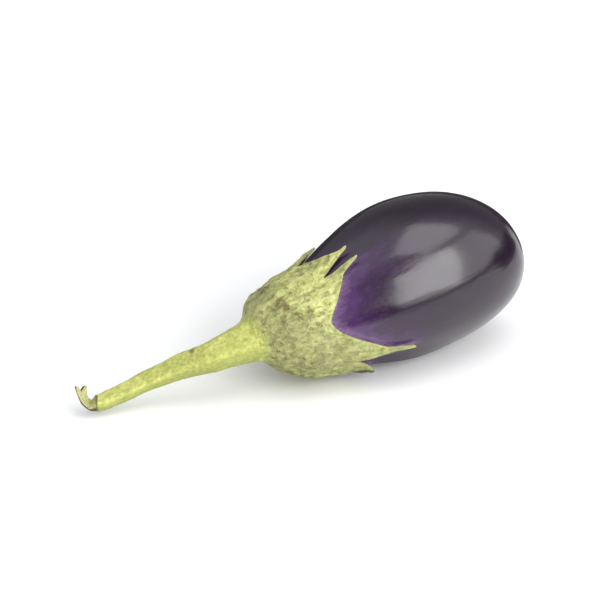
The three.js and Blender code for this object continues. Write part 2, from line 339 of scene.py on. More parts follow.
def calyx_columns():
    """For each column: its place across its sepal, and the sepal's own values."""
    columns = []
    for i, (start, notch, tip_angle, tip, blade, before, after, lift) in enumerate(SEPALS):
        following = SEPALS[(i + 1) % len(SEPALS)]
        stop = following[0] + (360 if i + 1 == len(SEPALS) else 0)
        margin = ROOT_MARGIN * (stop - start)
        midrib = min(max(tip_angle, start + margin), stop - margin)
        for across in np.arange(SEPAL_COLUMNS) * 2 / SEPAL_COLUMNS - 1:
            edge = start if across < 0 else stop
            columns.append(
                dict(
                    across=across,
                    edge=edge,
                    notch=notch if across < 0 else following[1],
                    angle=lerp(midrib, edge, abs(across)),
                    root=lerp(notch, following[1], (across + 1) / 2),
                    tip_angle=tip_angle,
                    tip=tip,
                    blade=blade,
                    fullness=before if across < 0 else after,
                    lift=lift,
                )
            )
    return {key: np.array([c[key] for c in columns], float) for key in columns[0]}


COLUMN = calyx_columns()


def on_sepal(out):
    """Distance, angle and share of the length: out is 0 at the root, 1 on the outline."""
    c = COLUMN
    climb = 1 - np.abs(c["across"]) ** SEPAL_SPREAD
    blade = (c["edge"] - c["tip_angle"]) * (1 - np.clip(climb / c["blade"], 0, 1) ** c["fullness"])
    slender = np.degrees(TIP_HALF_WIDTH / fruit_radius(c["tip"])) * (1 - climb) ** TIP_SHARPNESS
    slender = slender * smoothstep(climb, TIP_FROM, TIP_FULL)
    s = lerp(c["notch"], c["tip"], climb)
    angle = c["tip_angle"] + np.copysign(np.hypot(blade, slender), c["edge"] - c["tip_angle"])
    return lerp(c["root"], s, out), lerp(c["angle"], angle, out), out * climb


# ==== Node helpers ====


ROOM_LIGHT = 1.35  # how bright the room makes a white surface


def srgb(red, green, blue):
    """A colour as it shows in the room's light, 0 to 255, as the shaders take it."""
    linear = [((v / 255 + 0.055) / 1.055) ** 2.4 / ROOM_LIGHT for v in (red, green, blue)]
    return (*linear, 1.0)


FLOAT, COLOUR, VECTOR = "NodeSocketFloat", "NodeSocketColor", "NodeSocketVector"


class Graph:
    """Short words for wiring up one node tree."""

    def __init__(self, tree):
        self.tree = tree

    def add(self, kind, inputs=None, **settings):
        node = self.tree.nodes.new(kind)
        for name, value in settings.items():
            setattr(node, name, value)
        for name, value in (inputs or {}).items():
            self.feed(node.inputs[name], value)
        return node

    def feed(self, socket, value):
        if isinstance(value, bpy.types.NodeSocket):
            self.tree.links.new(value, socket)
        else:
            socket.default_value = value

    def group(self, tree, **inputs):
        """Uses a node group; an input's name has _ where the socket's has a space."""
        named = {name.replace("_", " "): value for name, value in inputs.items()}
        return self.add("ShaderNodeGroup", named, node_tree=tree).outputs

    def math(self, operation, a, b=0.0, c=0.0, clamp=False):
        inputs = {0: a, 1: b, 2: c}
        return self.add("ShaderNodeMath", inputs, operation=operation, use_clamp=clamp).outputs[0]

    def vector(self, operation, a, b=(0, 0, 0), scale=None):
        inputs = {0: a, 1: b} if scale is None else {0: a, "Scale": scale}
        node = self.add("ShaderNodeVectorMath", inputs, operation=operation)
        return node.outputs["Value" if operation == "LENGTH" else "Vector"]

    def spread(self, value, low, high, to_low=0.0, to_high=1.0, smooth=False):
        """value, stretched from low..high to another range and held inside it."""
        inputs = {"Value": value, "From Min": low, "From Max": high,
                  "To Min": to_low, "To Max": to_high}
        kind = "SMOOTHSTEP" if smooth else "LINEAR"
        return self.add("ShaderNodeMapRange", inputs, interpolation_type=kind).outputs["Result"]

    def blend(self, share, a, b):
        """A value share of the way from a to b."""
        return self.math("MULTIPLY_ADD", share, self.math("SUBTRACT", b, a), a)

    def mix(self, share, a, b, blend="MIX"):
        node = self.add("ShaderNodeMix", data_type="RGBA", blend_type=blend)
        for socket, value in ((node.inputs[0], share), (node.inputs[6], a), (node.inputs[7], b)):
            self.feed(socket, value)
        return node.outputs[2]

    def shade(self, colour, value):
        """A colour made darker or lighter by a value."""
        grey = self.add("ShaderNodeCombineColor", {0: value, 1: value, 2: value}).outputs[0]
        return self.mix(1.0, colour, grey, "MULTIPLY")

    def ramp(self, value, stops):
        """A colour ramp from (place, colour) pairs."""
        node = self.add("ShaderNodeValToRGB", {0: value})
        node.color_ramp.interpolation = "EASE"
        elements = node.color_ramp.elements
        while len(elements) < len(stops):
            elements.new(0.5)
        for element, (position, colour) in zip(elements, stops):
            element.position = position
            element.color = colour
        return node.outputs["Color"]

    def noise(self, vector, scale, detail=2.0, roughness=0.5):
        inputs = {"Vector": vector, "Scale": scale, "Detail": detail, "Roughness": roughness}
        return self.add("ShaderNodeTexNoise", inputs).outputs["Fac"]

    def attribute(self, name):
        return self.add("ShaderNodeAttribute", attribute_name=name).outputs["Fac"]

    def stored(self, name):
        """The same value in a geometry tree."""
        node = self.add("GeometryNodeInputNamedAttribute", {"Name": name}, data_type="FLOAT")
        return node.outputs["Attribute"]


def new_group(name, kind, inputs, outputs):
    """An empty group with named sockets: a graph, its inputs and its output sockets."""
    tree = bpy.data.node_groups.new(name, kind)
    for socket, socket_type, *value in inputs:
        made = tree.interface.new_socket(socket, in_out="INPUT", socket_type=socket_type)
        if value:
            made.default_value = value[0]
    for socket, socket_type in outputs:
        tree.interface.new_socket(socket, in_out="OUTPUT", socket_type=socket_type)
    graph = Graph(tree)
    return graph, graph.add("NodeGroupInput").outputs, graph.add("NodeGroupOutput").inputs


def new_material(name):
    """A material with only its Principled shader: the material, its graph, the shader."""
    material = bpy.data.materials.new(name)
    material.use_nodes = True
    material.node_tree.nodes.clear()
    graph = Graph(material.node_tree)
    shader = graph.add("ShaderNodeBsdfPrincipled")
    surface = graph.add("ShaderNodeOutputMaterial")
    graph.feed(surface.inputs["Surface"], shader.outputs["BSDF"])
    return material, graph, shader


# ==== Effects that several materials share ====


def grain_place_group():
    """The place on the plant in millimetres, with X along the fruit's axis."""
    g, _, out = new_group("grain_place", "ShaderNodeTree", [], [("Place", VECTOR)])
    where = g.add("ShaderNodeTexCoord").outputs["Object"]
    turned = g.add("ShaderNodeMapping", {"Vector": where})
    turned.inputs["Rotation"].default_value = (0, AXIS_TILT, 0)
    turned.inputs["Scale"].default_value = (1 / MM, 1 / MM, 1 / MM)
    g.feed(out["Place"], turned.outputs["Vector"])
    return g.tree


def streaks_group():
    """Fine streaks that run along the fruit's axis."""
    inputs = [("Place", VECTOR), ("Across", FLOAT, 1.0), ("Along", FLOAT, 0.1)]
    g, given, out = new_group("streaks", "ShaderNodeTree", inputs, [("Streak", FLOAT)])
    stretch = g.add("ShaderNodeCombineXYZ", {0: given["Along"], 1: given["Across"],
                                            2: given["Across"]}).outputs[0]
    drawn = g.vector("MULTIPLY", given["Place"], stretch)
    g.feed(out["Streak"], g.noise(drawn, 1.0, 4.0, 0.6))
    return g.tree


def freckles_group():
    """Small round spots scattered at random: 1 on a spot, 0 between them."""
    inputs = [("Place", VECTOR), ("Per mm", FLOAT, 0.5), ("Size", FLOAT, 0.2),
              ("Share", FLOAT, 0.4)]
    g, given, out = new_group("freckles", "ShaderNodeTree", inputs, [("Mask", FLOAT)])
    cells = g.add("ShaderNodeTexVoronoi", {"Vector": given["Place"], "Scale": given["Per mm"]})
    half = g.math("MULTIPLY", given["Size"], 0.5)
    near = g.spread(cells.outputs["Distance"], half, given["Size"], 1.0, 0.0)
    chance = g.add("ShaderNodeSeparateColor", {0: cells.outputs["Color"]}).outputs[0]
    chosen = g.math("LESS_THAN", chance, given["Share"])
    g.feed(out["Mask"], g.math("MULTIPLY", near, chosen))
    return g.tree


def vein_net_group():
    """A net of veins round irregular cells: 1 on a vein, and a tone for each cell."""
    inputs = [("Place", VECTOR), ("Per mm", FLOAT, 0.7), ("Width", FLOAT, 0.2)]
    outputs = [("Vein", FLOAT), ("Tone", FLOAT)]
    g, given, out = new_group("vein_net", "ShaderNodeTree", inputs, outputs)
    wander = g.add("ShaderNodeTexNoise", {"Vector": given["Place"], "Scale": 0.8, "Detail": 2.0})
    bent = g.vector("ADD", given["Place"], g.vector("SCALE", wander.outputs["Color"], scale=1.1))
    bent = g.vector("MULTIPLY", bent, (0.6, 1, 1))
    cell = {"Vector": bent, "Scale": given["Per mm"]}
    edge = g.add("ShaderNodeTexVoronoi", cell, feature="DISTANCE_TO_EDGE").outputs["Distance"]
    g.feed(out["Vein"], g.spread(edge, 0.0, given["Width"], 1.0, 0.0))
    colour = g.add("ShaderNodeTexVoronoi", cell).outputs["Color"]
    g.feed(out["Tone"], g.add("ShaderNodeSeparateColor", {0: colour}).outputs[0])
    return g.tree


def green_bark_group():
    """The colour of the stem, which also runs a little way onto the calyx."""
    g, given, out = new_group("green_bark", "ShaderNodeTree", [("Place", VECTOR)],
                              [("Colour", COLOUR), ("Relief", FLOAT)])
    patch = g.noise(given["Place"], 1.0, 5.0, 0.66)
    streak = g.group(STREAKS, Place=given["Place"], Across=1.6, Along=0.35)["Streak"]
    tone = g.blend(0.4, patch, streak)
    colour = g.ramp(tone, [(0.36, srgb(166, 170, 82)), (0.46, srgb(186, 190, 96)),
                           (0.54, srgb(208, 210, 114)), (0.64, srgb(226, 224, 144))])
    large = g.noise(given["Place"], 0.17, 2.0)
    colour = g.mix(g.spread(large, 0.42, 0.66, 0.0, 0.3), colour, srgb(164, 174, 80))
    fleck = g.group(FRECKLES, Place=given["Place"], Per_mm=0.8, Size=0.24, Share=0.1)["Mask"]
    colour = g.mix(g.math("MULTIPLY", fleck, 0.55), colour, srgb(118, 106, 52))
    g.feed(out["Colour"], colour)
    g.feed(out["Relief"], tone)
    return g.tree


GRAIN_PLACE = grain_place_group()
STREAKS = streaks_group()
FRECKLES = freckles_group()
VEIN_NET = vein_net_group()
GREEN_BARK = green_bark_group()


def bump(g, shader, height, depth):
    """Fine relief of that depth, in millimetres."""
    inputs = {"Height": height, "Strength": 1.0, "Distance": depth * MM}
    g.feed(shader.inputs["Normal"], g.add("ShaderNodeBump", inputs).outputs["Normal"])


def soft_inside(shader):
    """Light goes a little way into green flesh."""
    shader.inputs["Subsurface Weight"].default_value = 0.15
    shader.inputs["Subsurface Radius"].default_value = (1.0, 0.9, 0.3)
    shader.inputs["Subsurface Scale"].default_value = 0.6 * MM


# ==== Materials ====


def eggplant_skin():
    """Glossy near-black purple, violet where the calyx has kept the sun off, darkened as painted
    shade beside the raised sepal tips.
    """
    material, g, shader = new_material("eggplant_skin")
    where = g.group(GRAIN_PLACE)["Place"]
    streak = g.group(STREAKS, Place=where, Across=1.0, Along=0.06)["Streak"]
    fine = g.group(STREAKS, Place=where, Across=3.2, Along=0.25)["Streak"]
    wander = g.noise(where, 0.08, 2.0)
    uneven = g.math("ADD", g.spread(wander, 0.3, 0.7, -0.35, 0.35),
                    g.spread(streak, 0.3, 0.7, -0.3, 0.3))
    depth = g.math("MULTIPLY", g.attribute("shaded"), g.math("ADD", uneven, 1.0))
    depth = g.math("ADD", depth, g.spread(fine, 0.3, 0.7, -0.5, 0.5))
    skin = g.ramp(g.math("DIVIDE", depth, VIOLET_REACH, clamp=True), [
        (0.0, srgb(150, 130, 166)),
        (0.045, srgb(108, 78, 122)),
        (0.14, srgb(74, 42, 92)),
        (0.3, srgb(54, 28, 66)),
        (0.55, srgb(40, 20, 46)),
        (1.0, srgb(32, 17, 35)),
    ])
    mottle = g.spread(g.noise(where, 0.45, 4.0, 0.6), 0.35, 0.65, 0.85, 1.15)
    skin = g.shade(skin, mottle)
    dots = g.group(FRECKLES, Place=where, Per_mm=0.5, Size=0.12, Share=0.18)["Mask"]
    skin = g.mix(g.math("MULTIPLY", dots, 0.3), skin, srgb(18, 12, 16))
    cork = g.attribute("scar")
    grain = g.noise(where, 2.2, 4.0, 0.7)
    bark = g.ramp(grain, [(0.3, srgb(96, 84, 44)), (0.5, srgb(150, 138, 82)),
                          (0.7, srgb(190, 178, 128))])
    g.feed(shader.inputs["Base Color"], g.mix(cork, skin, bark))
    dull = g.spread(g.noise(where, 1.6, 3.0), 0.3, 0.7, 0.15, 0.24)
    g.feed(shader.inputs["Roughness"], g.math("ADD", dull, g.math("MULTIPLY", cork, 0.5)))
    g.feed(shader.inputs["Coat Weight"], g.spread(cork, 0.0, 1.0, 0.26, 0.0))
    shader.inputs["Coat Roughness"].default_value = 0.09
    shader.inputs["IOR"].default_value = 1.55
    relief = g.math("ADD", g.math("MULTIPLY", streak, 0.8), g.math("MULTIPLY", grain, cork))
    relief = g.math("ADD", relief, g.math("MULTIPLY", fine, 0.12))
    bump(g, shader, relief, 0.06)
    return material


def sepal_flesh():
    """Fleshy yellow-green with a net of paler veins, olive cells and brown cork, with painted light
    on the sepals' lit side and painted shade elsewhere.
    """
    material, g, shader = new_material("sepal_flesh")
    where = g.group(GRAIN_PLACE)["Place"]
    net = g.group(VEIN_NET, Place=where, Per_mm=0.9, Width=0.26)
    patch = g.noise(where, 0.62, 5.0, 0.7)
    tone = g.blend(0.22, patch, net["Tone"])
    flesh = g.ramp(tone, [(0.33, srgb(116, 114, 60)), (0.42, srgb(158, 160, 88)),
                          (0.52, srgb(194, 198, 114)), (0.62, srgb(222, 224, 150))])
    flesh = g.mix(g.math("MULTIPLY", net["Vein"], 0.45), flesh, srgb(204, 208, 134))
    greyed = g.spread(g.noise(where, 0.16, 3.0), 0.45, 0.62, 0.0, 0.4)
    flesh = g.mix(greyed, flesh, srgb(154, 158, 112))
    rim = g.attribute("rim")
    flesh = g.mix(g.math("MULTIPLY", rim, 0.7), flesh, srgb(206, 208, 134))
    flecks = g.group(FRECKLES, Place=where, Per_mm=1.3, Size=0.42, Share=0.3)["Mask"]
    browned = g.math("MULTIPLY", flecks, g.spread(patch, 0.4, 0.56, 0.7, 0.0))
    flesh = g.mix(browned, flesh, srgb(112, 96, 58))
    # Painted shade: a darker, greyer copy of the flesh, for the parts that face away from the
    # light.
    dull = g.shade(flesh, 0.9)
    dull = g.mix(0.16, dull, srgb(150, 152, 100))
    # Partly wear, partly painted shade: the lower crown turns patchy brown-olive.
    patchy_wear_and_shade = g.spread(g.noise(where, 0.8, 4.0, 0.7), 0.44, 0.6)
    patchy_wear_and_shade = g.math("MULTIPLY", patchy_wear_and_shade, g.attribute("worn"))
    dull = g.mix(g.math("MULTIPLY", patchy_wear_and_shade, 0.55), dull, srgb(126, 112, 74))
    # Painted light: a lighter copy of the flesh on the lit side, past the fold and on some margins.
    flesh = g.mix(g.attribute("face"), dull, g.shade(flesh, 1.06))
    bark = g.group(GREEN_BARK, Place=where)
    mottled = g.math("ADD", g.attribute("foot"), g.spread(patch, 0.3, 0.7, -0.3, 0.3))
    flesh = g.mix(g.spread(mottled, 0.25, 0.75), flesh, bark["Colour"])
    speckled = g.blend(0.4, g.noise(where, 1.1, 5.0, 0.8),
                       g.group(STREAKS, Place=where, Across=1.9, Along=0.5)["Streak"])
    corked = g.math("ADD", g.attribute("cork"), g.spread(speckled, 0.3, 0.7, -0.45, 0.45))
    bark_brown = g.ramp(corked, [(0.3, srgb(170, 164, 98)), (0.6, srgb(140, 130, 74)),
                                 (1.0, srgb(102, 90, 52))])
    flesh = g.mix(g.spread(corked, 0.15, 0.75, 0.0, 0.75), flesh, bark_brown)
    # Painted shade: the lowest sepal's margin, turned towards the table, is darkened.
    flesh = g.mix(g.attribute("tucked"), flesh, srgb(64, 66, 44))
    g.feed(shader.inputs["Base Color"], g.mix(g.attribute("lining"), flesh, srgb(190, 192, 140)))
    g.feed(shader.inputs["Roughness"], g.spread(patch, 0.3, 0.7, 0.66, 0.5))
    soft_inside(shader)
    relief = g.math("ADD", g.math("MULTIPLY", net["Vein"], 0.5), g.math("MULTIPLY", patch, 1.6))
    bump(g, shader, g.math("ADD", relief, g.math("MULTIPLY", speckled, 0.5)), 0.24)
    return material


def stem_bark():
    """Smooth bright yellow-green, faintly ribbed, darker underneath as painted shade, with pale
    pith and a browned tear.
    """
    material, g, shader = new_material("stem_bark")
    where = g.group(GRAIN_PLACE)["Place"]
    green = g.group(GREEN_BARK, Place=where)
    rib = g.spread(g.attribute("rib"), 0.0, 1.0, 0.94, 1.06)
    bark = g.shade(green["Colour"], rib)
    turn, torn = g.attribute("turn"), g.attribute("torn")
    # Painted shade: the underside of the stem is darkened to olive.
    under = g.spread(turn, -0.85, 0.25, 0.75, 0.0)
    bark = g.mix(under, bark, srgb(138, 150, 66))
    bark = g.mix(g.attribute("speck"), bark, srgb(104, 90, 54))
    fibre = g.group(STREAKS, Place=where, Across=2.4, Along=0.5)["Streak"]
    pith = g.ramp(fibre, [(0.35, srgb(160, 152, 92)), (0.5, srgb(196, 192, 132)),
                          (0.65, srgb(214, 212, 156))])
    burnt = g.ramp(fibre, [(0.4, srgb(40, 36, 20)), (0.6, srgb(84, 78, 36))])
    inner = g.spread(turn, -0.1, 0.3, smooth=True)
    ended = g.mix(inner, burnt, pith)
    scorch = g.math("MULTIPLY", g.spread(torn, 0.02, 0.12), g.spread(torn, 0.5, 0.2))
    bark = g.mix(g.math("MULTIPLY", scorch, 0.8), bark, srgb(96, 80, 38))
    g.feed(shader.inputs["Base Color"], g.mix(g.spread(torn, 0.15, 0.45), bark, ended))
    g.feed(shader.inputs["Roughness"], g.spread(torn, 0.0, 1.0, 0.5, 0.8))
    soft_inside(shader)
    bump(g, shader, g.math("ADD", green["Relief"], g.math("MULTIPLY", fibre, torn)), 0.14)
    return material


def cork_scab():
    """Dull, grainy brown cork."""
    material, g, shader = new_material("cork_scab")
    where = g.group(GRAIN_PLACE)["Place"]
    grain = g.noise(where, 3.0, 3.0, 0.7)
    colour = g.ramp(grain, [(0.35, srgb(96, 84, 46)), (0.65, srgb(146, 132, 78))])
    g.feed(shader.inputs["Base Color"], colour)
    shader.inputs["Roughness"].default_value = 0.85
    bump(g, shader, grain, 0.05)
    return material


def pale_down():
    """The pale yellow-green of the hairs."""
    material, g, shader = new_material("pale_down")
    tone = g.noise(g.group(GRAIN_PLACE)["Place"], 1.2)
    g.feed(shader.inputs["Base Color"], g.mix(tone, srgb(192, 196, 112), srgb(220, 220, 156)))
    shader.inputs["Roughness"].default_value = 0.7
    return material


def table_top():
    """A matt, almost white table."""
    material, g, shader = new_material("table_top")
    where = g.add("ShaderNodeTexCoord").outputs["Object"]
    grain = g.spread(g.noise(where, 30.0, 2.0), 0.0, 1.0, 0.9, 0.92)
    g.feed(shader.inputs["Base Color"], g.shade((1, 1, 1, 1), grain))
    shader.inputs["Roughness"].default_value = 0.7
    return material


# ==== The fruit ====

VIOLET_REACH = 26.0  # how far the violet fades out from the calyx's edge
SHADE_ANGLE, SHADE_SPREAD = 50.0, 38.0  # it reaches furthest here, round the axis
LEAST_REACH = 0.5  # the share of that reach on the other side
GAP_SHADE_FROM, GAP_SHADE_TO = 24, 42  # short of these angles, painted shade darkens the violet beside the raised sepals,
GAP_SHADE_BY = 6  # by as much as on skin that has grown out this much further
FLUTE_HEIGHT, FLUTE_SIZE = 0.08, 4.0
FLUTE_STRETCH = (0.12, 1, 1)  # they run along the fruit
LUMP_HEIGHT, LUMP_SIZE = 0.14, 11.0
SCAR_GRAIN, SCAR_GRAIN_SIZE = 0.08, 0.45
STYLE_HEIGHT, STYLE_RADIUS = 0.3, 0.5  # the dried point in the middle of the scar
DIMPLE_DEPTH, DIMPLE_WIDTH = 0.5, 1.7  # the hollow round the scar, in scar radii


def calyx_edge():
    """The calyx's outline as distances and angles, in the order of the angles."""
    s, angle, _ = on_sepal(1.0)
    order = np.argsort(angle)
    return s[order], angle[order]


def shaded_by_calyx(s, angle, points):
    """How far the skin has grown out of the calyx's shade, in millimetres, with painted shade added
    on the side where the raised sepal tips stand.
    """
    edge_s, edge_angle = calyx_edge()
    tree = KDTree(len(edge_s))
    for i, p in enumerate(settle(on_fruit(edge_s, edge_angle))):
        tree.insert(Vector(p), i)
    tree.balance()
    aside = np.array([tree.find(Vector(p))[2] for p in points.reshape(-1, 3)])
    start = edge_angle[0]
    grown = s - np.interp((angle - start) % 360 + start, edge_angle, edge_s)
    turned = signed(angle - SHADE_ANGLE)
    reach = lerp(LEAST_REACH, 1, np.exp(-((turned / SHADE_SPREAD) ** 2)))
    # Painted shade: on this side the violet is darkened as if the skin had grown further out.
    bare = GAP_SHADE_BY * smoothstep(-turned, GAP_SHADE_FROM, GAP_SHADE_TO)
    return (0.5 * aside.reshape(s.shape) + 0.5 * np.maximum(grown, 0)) / reach + bare


def make_fruit(material):
    """The berry's skin, with faint flutes and the corky scar at its blossom end."""
    t = (1 - np.cos(np.pi * np.arange(1, FRUIT_ROWS) / FRUIT_ROWS)) / 2
    s, radius = fruit_outline(t).T
    s, angle = np.meshgrid(s, np.arange(FRUIT_COLUMNS) * 360 / FRUIT_COLUMNS, indexing="ij")
    radius = np.repeat(radius[:, None], FRUIT_COLUMNS, axis=1)
    smooth = place(s, angle, radius * unevenness(s, angle))
    blossom = s > WIDEST_AT
    from_pole = radius / SCAR_RADIUS
    ragged = from_pole * (1 + 0.25 * noise_at(smooth, 1.6)) + 10 * ~blossom
    scar = 1 - smoothstep(ragged, 0.6, 0.85)
    fading = smoothstep(radius, 1.0, 8.0)
    flutes = FLUTE_HEIGHT * fading * noise_at(smooth * FLUTE_STRETCH, FLUTE_SIZE, seed=5.0)
    lumps = LUMP_HEIGHT * fading * noise_at(smooth, LUMP_SIZE, seed=9.0)
    grain = SCAR_GRAIN * scar * noise_at(smooth, SCAR_GRAIN_SIZE, seed=3.0)
    style = STYLE_HEIGHT * np.exp(-((radius / STYLE_RADIUS) ** 2))
    dimple = -DIMPLE_DEPTH * np.exp(-((from_pole / DIMPLE_WIDTH) ** 2))
    s = s + (SCAR_HEIGHT * scar + grain + style + dimple) * blossom
    rings = settle(place(s, angle, radius * unevenness(s, angle) + flutes + lumps))
    crown, end = settle(on_axis(CROWN_AT)), settle(on_axis(s[-1].mean()))
    layers = {"shaded": shaded_by_calyx(s, angle, rings), "scar": scar}
    return closed_surface("fruit_skin", crown, rings, end, layers, material)


# ==== The stem, swept along its route ====


def catmull_rom(points, steps):
    """A smooth curve through points, as many steps over each stretch."""
    points = np.array(points, float)
    ends = [2 * points[0] - points[1], *points, 2 * points[-1] - points[-2]]
    curve = []
    for a, b, c, d in zip(ends, ends[1:], ends[2:], ends[3:]):
        ta, tb, tc = (np.sqrt(np.linalg.norm(q - p)) for p, q in ((a, b), (b, c), (c, d)))
        out = ((b - a) / ta - (c - a) / (ta + tb) + (c - b) / tb) * tb
        into = ((c - b) / tb - (d - b) / (tb + tc) + (d - c) / tc) * tb
        t = np.linspace(0, 1, steps, endpoint=False)[:, None]
        swing = (2 * b - 2 * c + out + into) * t**3 + (-3 * b + 3 * c - 2 * out - into) * t**2
        curve.append(swing + out * t + b)
    return np.concatenate([*curve, points[-1:]])


ROUTE_STEPS = 60
ROUTE = catmull_rom([(-b, a, -d) for b, a, d in STEM_ROUTE + TONGUE_ROUTE], ROUTE_STEPS)
ROUTE = ROUTE + bend(np.array(0.0))
RUN = np.concatenate([[0], np.cumsum(np.linalg.norm(np.diff(ROUTE, axis=0), axis=1))])
TEAR_AT = RUN[ROUTE_STEPS * (len(STEM_ROUTE) - 1)]
SPECK_AT, SPECK_ANGLE, SPECK_RADIUS = 15.6, 8.0, 0.75  # a small bruise on the stem
SPECK_DARK = 0.85
KNOTS_PER_MM = 0.2


def stem_round(distance):
    """The stem's plain radius at a distance along it."""
    return STEM_FAR_RADIUS + (STEM_FOOT_RADIUS - STEM_FAR_RADIUS) * np.exp(-distance / STEM_TAPER)


def on_route(distance):
    return np.array([np.interp(distance, RUN, ROUTE[:, k]) for k in range(3)])


def round_stem(distance, angle, proud):
    """Points round the stem near its foot, at angles round the fruit's axis."""
    centre, after = on_route(distance), on_route(distance + 0.5)
    run = (after - centre) / np.linalg.norm(after - centre)
    ahead = lerp(-ALONG, run, smoothstep(distance, 0, STEM_SQUARE_TO))
    ahead /= np.linalg.norm(ahead)
    side = np.cross(ahead, [0, 0, 1])
    side /= np.linalg.norm(side)
    up = np.cross(side, ahead)
    a = -np.radians(angle)
    radius = stem_round(distance) * (1 + STEM_RIB_DEPTH * np.cos(STEM_RIBS * a)) + proud
    return centre + np.outer(np.cos(a) * radius, up) + np.outer(np.sin(a) * radius, side)


def geometry_group(name, inputs):
    """A geometry tree with named inputs: its graph, its inputs and its output socket."""
    first = [("Geometry", "NodeSocketGeometry")]
    g, given, out = new_group(name, "GeometryNodeTree", first + inputs, first)
    return g, given, out["Geometry"]


def run_on(source, name, tree, **values):
    """Runs a geometry tree on source, and keeps the result as a plain mesh of its own."""
    modifier = source.modifiers.new(name, "NODES")
    modifier.node_group = tree
    values = {socket.replace("_", " "): value for socket, value in values.items()}
    for item in tree.interface.items_tree:
        if item.in_out == "INPUT" and item.name in values:
            modifier[item.identifier] = values[item.name]
    evaluated = source.evaluated_get(bpy.context.evaluated_depsgraph_get())
    mesh = bpy.data.meshes.new_from_object(evaluated)
    source.modifiers.remove(modifier)
    mesh.name = name
    mesh.shade_smooth()
    return add_object(name, mesh)


def realized(g, out, geometry, material):
    """Ends a geometry tree: real geometry, with its material."""
    real = g.add("GeometryNodeRealizeInstances", {"Geometry": geometry}).outputs[0]
    done = g.add("GeometryNodeSetMaterial", {"Geometry": real, "Material": material})
    g.feed(out, done.outputs[0])
    return g.tree


